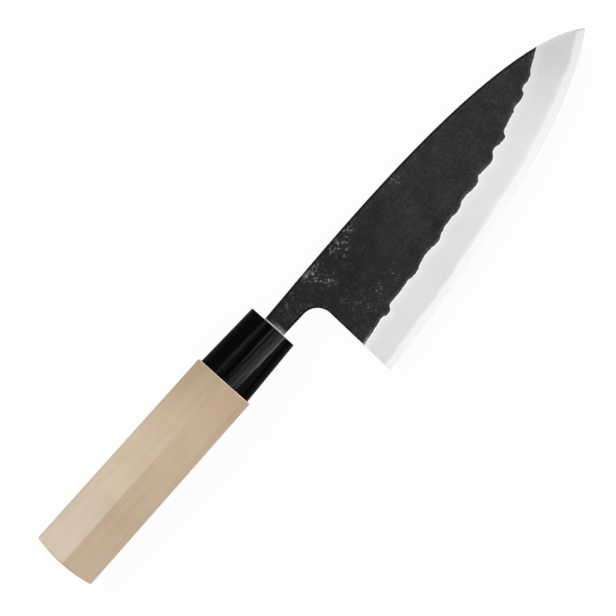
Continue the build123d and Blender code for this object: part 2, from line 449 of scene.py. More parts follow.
# Columns of the front. The first ones start on the rim, which is the neck, the choil and the heel
# line above the bevel, the next on the border of the scale, and the last on the edge beyond it.
# Here is where each ends on the spine.
rim, rim_normal = lower_rim()
n_rim = len(rim)
rim_run = joined([0], np.cumsum(span(np.diff(rim, axis=0))))
neck_run, choil_run = (rim_run[np.argmin(span(rim - (choil_centre + end)))] for end in choil_ends)
rim_places = [0, even_x, neck_run, choil_run, rim_run[-1]]
spine_places = [0, even_x, neck_spine_x, choil_spine_x, border[0, 0] + lead]
rim_to_spine = np.interp(rim_run, rim_places, spine_places)
border_share = (border[:, 0] - border[0, 0]) / (border[-1, 0] - border[0, 0])
border_to_spine = border[:, 0] + lead * (1 - border_share) ** lead_power
bare_spine = along(at_spine)[border_columns:]
spine_x = joined(rim_to_spine, border_to_spine[1:], bare_spine[:, 0])
spine_xy, spine_normal = spine_at(spine_x)

# The flat of the front, from the rim or the border up to the eased edge of the spine. Near the
# bevel it dips to meet the grind, in place of its dents.
low_xy = joined(rim, border[1:, :2])
n_flat = len(low_xy)
spine_round = np.minimum(front_round, span(spine_xy[:n_flat] - low_xy) * spine_round_share)
rim_round = np.minimum(front_round, span(rim - rim[-1]) * rim_round_share)
low_inset = low_xy.copy()
low_inset[:n_rim] -= rim_normal * rim_round[:, None]
high_inset = spine_xy[:n_flat] - spine_normal[:n_flat] * spine_round[:, None]
flat_xy = rows_between(low_inset, high_inset, ramp(flat_rows) ** row_crowding)
border_drop = front_z(border[:, :2]) - border[:, 2]
drop = joined(np.full(n_rim, border_drop[0]), border_drop[1:])
away = span(flat_xy - flat_xy[:1])
away[:, :n_rim] = span(flat_xy[:, :n_rim] - rim[-1])
near = np.exp(-((away / dip_reach) ** 2))
dents = hammer_marks(flat_xy) + forge_skin(flat_xy)
flat = raised(flat_xy, front_z(flat_xy) - blend(dents, drop[None], near))
bevel = rows_between(weld_iron, along(at_border)[:n_bevel], ramp(bevel_rows))
bevel[-1, :border_columns] = border
flat[0, n_rim - 1:] = border
flat_top = joined(flat[-1], bevel[-1, border_columns:])


def eased_wall(top_row, normal, radius, bottom_z):
    """Rows from the front over a quarter round of each column's radius, and straight down."""
    turn = np.linspace(0, math.pi / 2, round_rows + 1)[:, None]
    out = normal[None] * (radius * np.sin(turn))[..., None]
    arc = top_row[None] + np.concatenate([out, (radius * (np.cos(turn) - 1))[..., None]], -1)
    foot_row = raised(arc[-1, :, :2], bottom_z)
    return joined(arc, rows_between(arc[-1], foot_row, steps(0, 1, wall_rows)))


# The walls round the iron: along the spine, and along the rim and the heel end of the bevel
spine_radius = joined(spine_round, np.zeros(len(bare_spine)))
n_iron = n_rim - 1 + n_bevel
spine_sides = (flat_top, spine_normal, spine_radius, weld_z(spine_x))
iron_spine_wall = eased_wall(*(side[:n_iron] for side in spine_sides))
iron_spine_wall[:, -1] = flat_top[n_iron - 1]
heel_bevel = bevel[::-1, 0][1:]
rim_top = joined(flat[0, :n_rim], heel_bevel)
rim_ways = joined(rim_normal, np.tile(rim_normal[-1], (len(heel_bevel), 1)))
rim_radius = joined(rim_round, np.zeros(len(heel_bevel)))
rim_foot = np.minimum(weld_z(rim_top[:, 0]), rim_top[:, 2])
iron_rim_wall = eased_wall(rim_top, rim_ways, rim_radius, rim_foot)
iron_rim_wall[:, -1] = rim_top[-1]


def heel_repeated(row, count):
    """A row of the spine's columns, with that of the heel repeated for the columns below it."""
    return joined(row[:n_rim], np.repeat(row[n_rim - 1:n_rim], count, 0), row[n_rim:])


# The weld between the two metals, which closes both
weld_low = joined(iron_rim_wall[-1], weld_iron[1:])
weld_sheet = np.stack([weld_low, heel_repeated(iron_spine_wall[-1], len(heel_bevel))])


def fan(ring):
    """Two rows that close a ring of points with triangles to its middle."""
    ring = joined(ring, ring[:1])
    return np.stack([ring, np.repeat(ring[:-1].mean(0, keepdims=True), len(ring), 0)])


neck_ring = joined(flat[:, 0], iron_spine_wall[1:, 0], iron_rim_wall[:0:-1, 0])


def boxed_loop(x, height, thickness, corner):
    """Closed loop across x at each of some places: a rectangle whose corners are quarter rounds."""
    x, height, thickness, corner = (size[:, None] for size in (x, height, thickness, corner))
    starts = (0, 90, 180, 270)
    quarter = np.linspace(0, 90, tang_corner_points)
    turn = np.radians(np.concatenate([start + quarter for start in starts]))
    middle = np.radians(np.repeat(np.array(starts) + 45, tang_corner_points))
    y = np.sign(np.cos(middle)) * (height / 2 - corner) + corner * np.cos(turn)
    z = np.sign(np.sin(middle)) * (thickness / 2 - corner) + corner * np.sin(turn)
    loop = row_at(x, y, z)
    return np.concatenate([loop, loop[:, :1]], 1)


def tang_loops():
    """The tang: a tapered bar with a blunt point, from just inside the neck, closed at its ends."""
    bar_end = tang_point - tang_length
    x = joined([tang_overlap], np.linspace(0, bar_end, tang_rows + 1), [-tang_length])
    share = -x / tang_length
    size = np.where(x < bar_end, tang_point_share, 1.0)
    height, thickness = (blend(*ends, share) * size for ends in zip(tang_size, tang_end_size))
    loops = boxed_loop(x, height, thickness, tang_corner * size)
    ends = [np.tile(loop[:-1].mean(0), (1, len(loop), 1)) for loop in (loops[0], loops[-1])]
    return joined(ends[0], loops, ends[1])


# The steel: the honed and ground strip along the edge, and the hollow back
honed_rise = bevel_width * tangent(honing_angle) - (top[:, 2] - foot[:, 2])
honed_share = np.minimum((grind_land - edge_land) / honed_rise, at_weld)
edge_row = foot.copy()
edge_row[:, 2] = back_z + edge_land
honed_row = along(honed_share)
honed = rows_between(edge_row, honed_row, ramp(honed_rows))
strip = rows_between(honed_row, weld, ramp(strip_rows))
steel_rim = joined(iron_rim_wall[-1], strip[::-1, 0][1:], honed[::-1, 0][1:])
first_steel = int(np.argmax(steel_rim[:, 0] >= steel_start - tiny))
wall_shares = ramp(wall_rows)
lower_walls = rows_between(steel_rim, raised(steel_rim[:, :2], back_z), wall_shares)
edge_wall = rows_between(edge_row, raised(edge_row[:, :2], back_z), (0, 1))
steel_spine = joined(iron_spine_wall[-1], along(at_spine)[n_bevel:])
steel_spine[-1] = edge_row[-1]
spine_back = raised(steel_spine[:, :2], back_z)
steel_spine_wall = rows_between(steel_spine, spine_back, wall_shares)


def hollow_at(points):
    """Depth of the hollow: an arc across the blade between the flat rims, deepest in its middle,
    times a depth that rises from the neck and fades towards the tip."""
    x, y = points[..., 0], points[..., 1]
    places = blend(neck_length, tip_x, np.array([share for share, _ in hollow_shares]))
    dense = np.linspace(0, tip_x, hollow_samples)
    deep = np.interp(dense, places, [depth for _, depth in hollow_shares])
    deep = softened(np.pad(deep, hollow_softening // 2, mode="edge"), hollow_softening, "valid")
    low, high = height_on(edge_line, x) + rim_edge, height_on(spine_line, x) - rim_spine
    across = (y - (low + high) / 2) / np.maximum((high - low) / 2, 1.0)
    depth = np.interp(x, dense, deep) * np.clip(1 - across**2, 0, 1)
    return depth * smooth(x, *(neck_length + start for start in hollow_start))


# The back, from the foot of the walls to that of the spine, pressed in by the hollow
back_low = joined(lower_walls[-1], edge_wall[-1][1:])
back_high = heel_repeated(spine_back, len(steel_rim) - n_rim)
back = rows_between(back_low, back_high, ramp(back_rows))
hollow_share = hollow_at(back)
hollow_share[[0, -1]] = 0
back[..., 2] += hollow_share * hollow_depth
back = back[:, first_steel:]
hollow_share = hollow_share[:, first_steel:]


def placed(name, data):
    """A new object in the scene, at the origin."""
    thing = bpy.data.objects.new(name, data)
    bpy.context.scene.collection.objects.link(thing)
    return thing


def solid(name, sheets, marks):
    """One mesh from sheets, which are grids of points with a smooth group and the values of some
    marks; the other marks have their usual value there. Points of different sheets that coincide
    become one, and a face that loses a side there becomes a triangle, or goes. Edges between
    sheets of different smooth groups are sharp."""
    points, quads, groups, values, first = [], [], [], {mark: [] for mark in marks}, 0
    for grid, group, given in sheets:
        rows, columns = grid.shape[:2]
        index = first + np.arange(rows * columns).reshape(rows, columns)
        corners = (index[:-1, :-1], index[1:, :-1], index[1:, 1:], index[:-1, 1:])
        quads.append(np.stack([corner.ravel() for corner in corners], -1))
        groups.append(np.full(len(quads[-1]), group))
        points.append(grid.reshape(-1, 3))
        for mark, usual in marks.items():
            values[mark].append(np.broadcast_to(given.get(mark, usual), (rows, columns)).ravel())
        first += rows * columns
    points, quads, groups = np.concatenate(points), np.concatenate(quads), np.concatenate(groups)
    places = np.round(points, same_digits)
    _, kept, place_of = np.unique(places, axis=0, return_index=True, return_inverse=True)
    quads = place_of.ravel()[quads]
    twin = quads == np.roll(quads, -1, axis=1)
    crossed = (quads[:, 0] == quads[:, 2]) | (quads[:, 1] == quads[:, 3])
    whole = (twin.sum(1) == 0) & ~crossed
    short = (twin.sum(1) == 1) & ~crossed
    after_twin = (np.argmax(twin[short], 1)[:, None] + np.arange(1, 4)) % 4
    turned = np.take_along_axis(quads[short], after_twin, 1)
    mesh = bpy.data.meshes.new(name)
    faces = quads[whole].tolist() + turned.tolist()
    mesh.from_pydata((points[kept] + home) * metre, [], faces, shade_flat=False)
    shape = bmesh.new()
    shape.from_mesh(mesh)
    bmesh.ops.recalc_face_normals(shape, faces=shape.faces)
    shape.to_mesh(mesh)
    shape.free()
    group_of = joined(groups[whole], groups[short])
    sides = np.zeros(len(mesh.polygons), int)
    mesh.polygons.foreach_get("loop_total", sides)
    edge_of = np.zeros(len(mesh.loops), int)
    mesh.loops.foreach_get("edge_index", edge_of)
    least, most = np.full(len(mesh.edges), len(sheets)), np.full(len(mesh.edges), -1)
    np.minimum.at(least, edge_of, np.repeat(group_of, sides))
    np.maximum.at(most, edge_of, np.repeat(group_of, sides))
    mesh.attributes.new("sharp_edge", "BOOLEAN", "EDGE").data.foreach_set("value", least != most)
    for mark in marks:
        layer = mesh.attributes.new(mark, "FLOAT", "POINT")
        layer.data.foreach_set("value", np.concatenate(values[mark])[kept].astype(np.float32))
    return placed(name, mesh)


# Marks that the blade's finish follows: how far above the border of the scale a point is, how far
# from the nearest rim, how far from the weld line, and how deep in the hollow. On the filed walls
# of the neck and the choil the border runs down from the front, and the scale ends shortly before
# the neck does.
bevel_away = -span(bevel - bevel[-1:])
from_rim = np.full(flat_xy.shape[:2], far)
from_rim[:, :n_rim] = span(flat_xy[:, :n_rim] - low_inset[:n_rim])
from_edges = np.minimum(span(flat_xy - high_inset[None]), from_rim)
filed_start, filed_depth = 1.5, 2.5
filed = np.maximum(neck_run - filed_start - rim_run, -filed_depth)
rim_filed = joined(filed, np.full(len(heel_bevel), -filed_depth))
rim_border = joined(away[0, :n_rim], -span(heel_bevel - heel_bevel[:1]))
down_wall = joined(ramp(round_rows), np.ones(wall_rows))[:, None]
bare_border = bevel_away[-1, border_columns:n_bevel] - 1
iron_sheets = (
    (flat, 0, {"border": away, "rim": from_edges}),
    (bevel, 1, {"border": bevel_away, "weld": span(bevel - bevel[:1])}),
    (iron_spine_wall, 0, {"border": joined(away[-1], bare_border), "rim": 0.0}),
    (iron_rim_wall, 2, {"border": blend(rim_border, rim_filed, down_wall), "rim": 0.0}),
    (weld_sheet, 3, {}),
    (fan(neck_ring), 4, {}),
    (tang_loops(), 5, {}),
)
blade_iron = solid("blade_iron", iron_sheets, {"border": far, "rim": far, "weld": far})
steel_sheets = (
    (honed, 0, {"honed": 1.0}),
    (strip, 1, {"weld": span(strip - strip[-1:])}),
    (weld_sheet[:, first_steel:], 2, {}),
    (lower_walls[:, first_steel:], 3, {}),
    (edge_wall, 4, {}),
    (steel_spine_wall[:, first_steel:], 5, {}),
    (back, 6, {"hollow": hollow_share, "back": 1.0}),
)
steel_marks = {"weld": far, "hollow": 0.0, "back": 0.0, "honed": 0.0}
blade_steel = solid("blade_steel", steel_sheets, steel_marks)


def corner_height(height, thickness, slope, corner, ridge):
    """Height of the centres of the corner arcs, from the point where the facets would meet."""
    cosine = np.cos(np.radians(slope))
    apex = thickness / 2 + ridge * (1 / cosine - 1)
    return apex - (height / 2 - corner) * np.tan(np.radians(slope)) - corner / cosine


def back_radii(sizes):
    """Radii of the side and middle arcs of the back, which all sections of a piece share."""
    half = np.min(sizes[0]) / 2 - back_flat
    depth = np.min(corner_height(*sizes) + sizes[1] / 2) - back_flat
    sine, cosine = math.sin(math.radians(back_turn)), math.cos(math.radians(back_turn))
    side = (depth * sine - half * (1 - cosine)) / (sine + cosine - 1)
    return side, side + (half - side) / sine


def chestnut(sizes, radii, inset=0.0):
    """Chestnut sections: from the middle of the back a flat, two arcs, a flat up the side, the
    corner arc, the facet and the rounded ridge, and the same mirrored. Each column keeps its
    place on the section from row to row. Gives y and z."""
    sizes = np.broadcast_arrays(*sizes, inset)
    height, thickness, slope, corner, ridge, inset = (size[..., None] for size in sizes)
    side, back = radii
    half, top, turn, quarter = height / 2, thickness / 2, math.radians(back_turn), math.pi / 2
    side_y, side_z = half - side, back - top - (back - side) * math.cos(turn)
    back_y, ridge_z = side_y - (back - side) * math.sin(turn), top - ridge
    corner_y, corner_z = half - corner, corner_height(height, thickness, slope, corner, ridge)
    tilt = np.radians(slope)
    sine, cosine = np.sin(tilt), np.cos(tilt)
    share = np.linspace(0, 1, on_facet, endpoint=False)

    def arc(y, z, radius, start, end, count, last=False):
        """Points round a centre, less the inset, between two angles from straight down."""
        turns = start + (end - start) * np.linspace(0, 1, count, endpoint=last)
        return y + (radius - inset) * np.sin(turns), z - (radius - inset) * np.cos(turns)

    facet_y = blend(corner_y + (corner - inset) * sine, (ridge - inset) * sine, share)
    facet_z = blend(corner_z + (corner - inset) * cosine, ridge_z + (ridge - inset) * cosine, share)
    runs = (
        (0 * half, inset - top),
        arc(back_y, back - top, back, 0, turn, arc_back),
        arc(side_y, side_z, side, turn, quarter, arc_side, last=True),
        arc(corner_y, corner_z, corner, quarter, math.pi - tilt, arc_corner),
        (facet_y, facet_z),
        arc(0, ridge_z, ridge, math.pi - tilt, math.pi, arc_ridge + 1, last=True),
    )
    y, z = (np.concatenate(run, -1) for run in zip(*runs))
    return np.concatenate([y, -y[..., -2::-1]], -1), np.concatenate([z, z[..., -2::-1]], -1)


joint_x = -ferrule_length
butt_x = joint_x - wood_length - dome_rise
bore = [size / 2 - ferrule_wall for size in ferrule_front_section[:2]]


def wood_sizes(x):
    """Sizes of the grip at x: it tapers evenly, its facets flatten over the front part, and the
    ridge is rounded off late in that part."""
    share = (x - butt_x) / (joint_x - butt_x)
    fade = np.clip((x - joint_x + fade_length) / fade_length, 0, 1)
    shares = (share, share, fade, fade, fade**ridge_power)
    return [blend(*ends, share) for *ends, share in zip(butt_section, joint_section, shares)]


def oval(row, half_y, half_z, power=2.0):
    """y and z of points on an oval, each in the direction of a point of a row: with a higher
    power the oval comes near a rectangle."""
    angle = np.arctan2(row[:, 2], row[:, 1])
    spread = np.abs(np.cos(angle) / half_y) ** power + np.abs(np.sin(angle) / half_z) ** power
    reach = spread ** (-1 / power)
    return reach * np.cos(angle), reach * np.sin(angle)


def on_dome(y, z):
    """Points of the butt: a ball's cap about the handle's axis."""
    return row_at(butt_x + dome_radius - np.sqrt(dome_radius**2 - y**2 - z**2), y, z)


def grip_parts():
    """The wooden handle as one closed skin: out over the dome, round its rim by a quadratic curve
    and along the grip; the chamfer; in over the joint; along the tenon; in over its face; and back
    through the socket to its end."""
    fade_x, front_x = joint_x - fade_length, joint_x - wood_chamfer
    stations = [np.linspace(butt_x, fade_x, grip_stations), np.linspace(fade_x, joint_x, grip_stations)]
    radii = back_radii(wood_sizes(np.concatenate(stations)))
    butt_sizes = wood_sizes(butt_x + dome_rise)
    dome = on_dome(*(side * ramp(dome_rows)[:, None] for side in chestnut(butt_sizes, radii, butt_round)))
    corner = on_dome(*chestnut(butt_sizes, radii))
    side = corner + (butt_round, 0, 0)
    share = steps(0, 1, rim_rows)[:, None, None]
    rim = (1 - share) ** 2 * dome[-1] + 2 * share * (1 - share) * corner + share**2 * side
    x = blend(side[:, 0], front_x, np.concatenate([steps(*run) for run in side_runs])[:, None])
    grip = row_at(x, *(np.diagonal(way, axis1=1, axis2=2) for way in chestnut(wood_sizes(x), radii)))
    share = np.array(face_shares)
    sections = chestnut(wood_sizes(joint_x), radii, wood_chamfer * share)
    chamfer = row_at(blend(front_x, joint_x, share)[:, None], *sections)
    tenon = oval(chamfer[-1], *(half - tenon_fit for half in bore))
    mouth_halves = [size / 2 + bedding_gap for size in tang_size]
    mouth = np.array(oval(chamfer[-1], *mouth_halves, mouth_power))
    narrow = (tang_end_size[0] / 2 + bedding_gap) / mouth_halves[0]
    end_x = -tang_length - bedding_gap
    tenon_rear, tenon_front, mouth_row = row_at(joint_x, *tenon), row_at(0.0, *tenon), row_at(0.0, *mouth)
    socket = rows_between(mouth_row, row_at(end_x, *mouth * narrow), steps(0, 1, socket_rows))
    return (
        joined(dome, rim, grip),
        chamfer,
        rows_between(chamfer[-1], tenon_rear, halves),
        rows_between(tenon_rear, tenon_front, steps(0, 1, tenon_rows)),
        rows_between(tenon_front, mouth_row, face_shares),
        joined(socket, row_at(end_x, *mouth * 0)[None]),
    )


def ferrule_parts():
    """The ferrule as one closed skin: along its outside from the rear rim to the front one, each a
    quarter round; in over the front; back through the bore; and out over the rear."""
    both = (ferrule_rear_section, ferrule_front_section)
    turn = np.radians(90) * ramp(ferrule_round_rows)
    share = steps(0, 1, ferrule_side_rows)
    x = joined(
        joint_x + ferrule_rear_round * (1 - np.cos(turn)),
        blend(joint_x + ferrule_rear_round, -ferrule_chamfer, share),
        -ferrule_chamfer * (1 - np.sin(turn[1:])),
    )
    rear_cut, front_cut = 1 - np.sin(turn), 1 - np.cos(turn[1:])
    inset = joined(ferrule_rear_round * rear_cut, 0 * share, ferrule_chamfer * front_cut)
    share = joined(0 * rear_cut, share, 0 * front_cut + 1)
    sizes = [blend(*ends, share) for ends in zip(*both)]
    outside = row_at(x[:, None], *chestnut(sizes, back_radii(np.transpose(both)), inset))
    bore_front, bore_rear = (row_at(at, *oval(outside[-1], *bore)) for at in (0.0, joint_x))
    return (
        outside,
        rows_between(outside[-1], bore_front, halves),
        rows_between(bore_front, bore_rear, steps(0, 1, tenon_rows)),
        rows_between(bore_rear, outside[0], halves),
    )


def skin_sheets(parts, size, faces=()):
    """Sheets of a skin: each of its parts, from the last row of the part before. They are marked
    with each point's share of the way from the handle's axis to its side, the number of the part,
    and how far it faces across the grain, as the dome and some of the parts do."""
    rows = np.concatenate(parts)
    dome = np.clip((dome_rows + rim_rows - np.arange(len(rows))) / rim_rows, 0, 1)[:, None]
    ends = [0, *np.cumsum([len(part) for part in parts]) - 1]
    sheets = []
    for number, (first, last) in enumerate(zip(ends, ends[1:])):
        cut = rows[first:last + 1]
        end = 1 if number in faces else dome[first:last + 1]
        sheets.append((cut, number, {"across": cut[..., 1] / size, "part": number, "end": end}))
    return sheets


grip_marks = {"across": 0.0, "part": 0.0, "end": 0.0}
grip_sheets = skin_sheets(grip_parts(), butt_section[0] / 2, faces=(2, 4))
wooden_grip = solid("wooden_grip", grip_sheets, grip_marks)
ferrule_sheets = skin_sheets(ferrule_parts(), ferrule_rear_section[0] / 2)
ferrule_ring = solid("ferrule_ring", ferrule_sheets, {"across": 0.0})


class Tone:
    """A socket of a node tree. Sums and products of tones add the Math nodes that work them out."""

    def __init__(self, tree, socket=None):
        self.tree, self.socket = tree, socket

    def make(self, kind, sockets={}, settings={}, output=0):
        """Adds a node: its settings first, then the values or links of its sockets."""
        node = self.tree.nodes.new("ShaderNode" + kind)
        for name, value in settings.items():
            if name == "stops":
                for place, colour in value[1:-1]:
                    node.color_ramp.elements.new(place)
                for element, (place, colour) in zip(node.color_ramp.elements, value):
                    element.position, element.color = place, colour
            else:
                setattr(node, name, value)
        for name, value in sockets.items():
            if isinstance(value, Tone):
                self.tree.links.new(value.socket, node.inputs[name])
            else:
                node.inputs[name].default_value = value
        return Tone(self.tree, node.outputs[output] if len(node.outputs) else None)

    def math(self, operation, other=0.0):
        """The Math node that takes this and maybe another value."""
        return self.make("Math", {0: self, 1: other}, {"operation": operation})

    def __add__(self, other):
        return self.math("ADD", other)

    def __sub__(self, other):
        return self.math("SUBTRACT", other)

    def __rsub__(self, other):
        return self * -1.0 + other

    def __mul__(self, other):
        return self.math("MULTIPLY", other)

    def __truediv__(self, other):
        return self.math("DIVIDE", other)

    __radd__, __rmul__ = __add__, __mul__

    def step(self, low, high):
        """0 below low, 1 above high, smooth between: the same as smooth() has for arrays."""
        sockets = {"Value": self, "From Min": low, "From Max": high}
        return self.make("MapRange", sockets, {"interpolation_type": "SMOOTHSTEP"})

    def band(self, low, high, soft):
        """1 between low and high, falling to 0 over soft on both sides."""
        return self.step(low - soft, low) * (1 - self.step(high, high + soft))

    def mix(self, dark, light):
        """A colour between dark, where this is 0, and light, where it is 1. Each is a tone, or a
        colour as linear() takes it."""
        dark, light = (c if isinstance(c, Tone) else linear(c) for c in (dark, light))
        return self.make("Mix", {0: self, 6: dark, 7: light}, {"data_type": "RGBA"}, 2)

    def noise(self, scale, detail=3.0, roughness=0.5):
        """Cloud noise over this place, in millimetres; a scale of 1 has clouds about 1 mm wide."""
        sockets = {"Vector": self, "Scale": scale, "Detail": detail, "Roughness": roughness}
        return self.make("TexNoise", sockets)

    def stretched(self, x, y, z, turn=0.0):
        """This place, turned about z and scaled, so that a pattern on it is drawn out."""
        sockets = {"Vector": self, "Rotation": (0, 0, math.radians(turn)), "Scale": (x, y, z)}
        return self.make("Mapping", sockets)

    def axis(self, name):
        """One of the coordinates of this place."""
        return self.make("SeparateXYZ", {0: self}, {}, name)

    def distance(self, centre):
        """How far this place is from a centre."""
        return self.make("VectorMath", {0: self, 1: centre}, {"operation": "DISTANCE"}, "Value")

    def mark(self, name):
        """One of the marks that solid() stored on the points."""
        return self.make("Attribute", {}, {"attribute_name": name}, "Fac")

    def bump(self, height, distance, strength):
        """A normal for the surface, with a height of 1 as tall as the distance in metres."""
        sockets = {"Strength": strength, "Distance": distance, "Height": height}
        return self.make("Bump", sockets)


def linear(values):
    """A colour in the shader's linear scale, from the 0 to 255 scale of a picture, on which it has
    three values, or one for a grey. The formula is that of the sRGB standard."""
    shares = np.broadcast_to(values, 3) / 255
    return (*[s / 12.92 if s <= 0.04045 else ((s + 0.055) / 1.055) ** 2.4 for s in shares], 1.0)


def cleared(holder):
    """A tone to start from in the node tree of a material or world, emptied."""
    holder.use_nodes = True
    holder.node_tree.nodes.clear()
    return Tone(holder.node_tree)


def finish_of(name, paint):
    """A material whose surface shader gets the sockets that paint works out from the place."""
    material = bpy.data.materials.new(name)
    start = cleared(material)
    place = start.make("TexCoord", output="Object")
    place = start.make("VectorMath", {0: place, "Scale": 1 / metre}, {"operation": "SCALE"})
    surface = start.make("BsdfPrincipled", paint(place))
    start.make("OutputMaterial", {"Surface": surface})
    return material


def spot(place, x, y, radius):
    """1 at a place on the blade, given by its x and y, fading to 0 at the radius."""
    away = place.distance((x + home[0], y + home[1], home[2] + spot_height))
    return 1 - away.step(0.0, radius)


def ground_metal(place):
    """Satin of the ground bevel: cloudy, with very fine lines across the edge. Gives a lightness
    from 0 to 1 and the height of the lines."""
    clouds = place.noise(0.09, 3.0, 0.5)
    lines = place.stretched(1.0, 0.06, 1.0).noise(3.2, 2.0, 0.5)
    return clouds * 0.6 + lines * 0.4, lines


def along_x(place):
    """How far along x from the front of the ferrule a place is."""
    return place.axis("X") - home[0]


# Where the scale is worn: x, y, radius and how much
worn_places = (
    (27.5, 2.5, 7.5, 1.2), (30.0, -3.5, 7.0, 1.0), (44.0, 1.5, 8.0, 1.4), (51.5, 4.5, 4.5, 0.9),
    (11.0, 2.0, 9.0, 0.5), (30.0, -16.0, 9.0, 0.4), (35.0, -24.0, 8.0, 0.5), (42.0, -22.0, 5.0, 0.6),
    (49.0, -23.0, 7.0, 0.6), (80.0, 2.0, 6.0, 0.5),
)

# Single spots on the blade, by x, y and radius: where the border frays at the heel, where the spine
# is rubbed bare, and where the seat of the ferrule is smeared; and their height over the axis
frayed_spot = (20.5, -33.0, 9.0)
rubbed_spot = (25.5, 5.4, 3.4)
smeared_spot = (1.0, -3.5, 8.0)
spot_height = 2.0


def weld_drift(place):
    """How far the two metals seem to merge past the weld towards the edge: a half near the heel, 0
    along the middle and 1 at the tip."""
    front = along_x(place)
    return (1 - front.step(65.0, 95.0)) * 0.5 + front.step(150.0, 168.0)


def paint_iron(place):
    """Black forge scale over soft iron, which is ground bare on the bevel. The scale is worn pale
    in short curled strokes and flecks, most of all near the neck, and frays at its border."""
    border, rim, weld = (place.mark(name) for name in ("border", "rim", "weld"))
    front = along_x(place)
    grain = place.noise(1.3, 6.0, 0.75)
    ragged = border + 0.1 + (grain - 0.5) * 0.7
    scale = ragged.step(-0.05, 0.2)
    clouds = place.noise(0.10, 4.0, 0.6)
    pits = place.noise(0.9, 8.0, 0.8)
    black = (clouds * 0.25 + pits * 0.75).step(0.34, 0.66).mix(16, 50)
    rear = (1 - front.step(35.0, 90.0)) * (border.step(4.0, 26.0) * 0.35 + 0.2)
    black = rear.mix(black, 5)
    haze = place.noise(0.22, 5.0, 0.7).step(0.50, 0.75)
    black = (haze * pits * 0.4).mix(black, 84)
    bend = place.noise(0.42, 3.0, 0.6) - 0.5
    curls = 1 - bend.math("ABSOLUTE").step(0.004, 0.034)
    curls = curls * place.noise(0.6, 2.0, 0.5).step(0.50, 0.60)
    flecks = place.noise(1.7, 4.0, 0.75).step(0.60, 0.72)
    worn = 0.07 + (1 - rim.step(0.3, 5.0)) * 0.3
    for *where, share in worn_places:
        worn = worn + spot(place, *where) * share
    fringe = (1 - border.step(0.1, 2.6)) * (pits * 1.6 - 0.35) + (1 - border.step(0.0, 0.45)) * 0.25
    frayed = (1 - border.step(0.2, 2.2)) * spot(place, *frayed_spot) * (pits * 2.0 - 0.3)
    mottle = place.noise(0.5, 4.0, 0.65).step(0.50, 0.72)
    scuff = worn * (curls * 0.65 + flecks * 0.55 + mottle * 0.4) + fringe * 0.45 + frayed * 0.6
    skin = scuff.step(0.0, 1.0).mix(black, 156)
    skin = (spot(place, *rubbed_spot) * 0.45).mix(skin, 165)
    # Painted shade: the eased edges of the spine and of the rim are painted nearly black.
    rounded = 1 - rim.step(0.1, 0.7)
    skin = (rounded * 0.8).mix(skin, 8)
    smear = (1 - front.step(0.6, 3.6)) * spot(place, *smeared_spot) * (pits * 3.0 - 0.7)
    seat = (1 - front.step(0.5, 0.8)) * (pits * 1.6 + 0.1) + smear * 0.6
    skin = seat.step(0.0, 1.0).mix(skin, 205)
    light, lines = ground_metal(place)
    bare = light.mix(218, 228)
    # Painted reflection: the bare bevel is painted lighter along its middle and a little towards the tip,
    # so that it stays darker at the heel.
    bare = (front.step(70.0, 125.0) * (0.35 - front.step(135.0, 165.0) * 0.25)).mix(bare, 245)
    bare = (border.step(-4.5, 0.0) * 0.4).mix(bare, 250)
    bare = (border.step(-0.8, -0.1) * (clouds * 2.2 - 0.4)).mix(bare, 255)
    bare = ((1 - weld.step(0.0, 1.9)) * (0.5 - weld_drift(place))).mix(bare, 244)
    crust = place.noise(2.4, 6.0, 0.7) * 0.7 + place.noise(0.45, 3.0, 0.5)
    return {
        "Base Color": scale.mix(bare, skin),
        "Metallic": 1 - scale * 0.9,
        "Roughness": scale * (0.62 - scuff * 0.15 + rounded * 0.25) + (1 - scale) * (0.36 - light * 0.05),
        "Normal": place.bump((1 - scale) * lines * 0.08 + scale * crust, 0.00012, 0.7),
        "Specular IOR Level": 0.33,
    }


def paint_steel(place):
    """Hard steel: bright along the edge, with a satin hollow and scratched flats on the back."""
    weld, hollow, behind, honed = (place.mark(name) for name in ("weld", "hollow", "back", "honed"))
    light, lines = ground_metal(place)
    front = light.mix(246, 253)
    # Painted shade: the strip is painted darker towards the heel.
    front = ((1 - along_x(place).step(50.0, 95.0)) * 0.5).mix(front, 238)
    cloudy = weld + (place.noise(0.35, 3.0, 0.6) - 0.5) * 0.9 - weld_drift(place) * 1.8
    front = (1 - cloudy.step(-0.9, 0.9)).mix(front, 225)
    across = place.stretched(1.0, 0.05, 1.0, 12.0).noise(2.6, 3.0, 0.55)
    along_back = place.stretched(0.04, 1.0, 1.0, -8.0).noise(2.2, 3.0, 0.6)
    in_hollow = hollow.step(0.0, 0.03)
    rear = in_hollow.mix(232, 206)
    rear = (along_back.step(0.35, 0.7) * 0.35).mix(rear, 180)
    bumps = in_hollow.mix(along_back, across)
    return {
        "Base Color": behind.mix(front, rear),
        "Metallic": 1.0,
        "Roughness": 0.33 - honed * 0.1 + behind * in_hollow * 0.06,
        "Normal": place.bump(behind * bumps + (1 - behind) * lines * 0.3, 0.00004, 0.6),
    }


# Lanes of gloss along the ferrule: from, to and how soft, as shares of the way from the axis to the
# side of the spine, and how glossy
gloss_lanes = (
    (-0.48, -0.32, 0.05, 1.0), (-0.29, -0.13, 0.04, 0.42), (-0.03, 0.01, 0.03, 0.5),
    (0.12, 0.28, 0.04, 0.28), (0.32, 0.37, 0.05, 0.85),
)


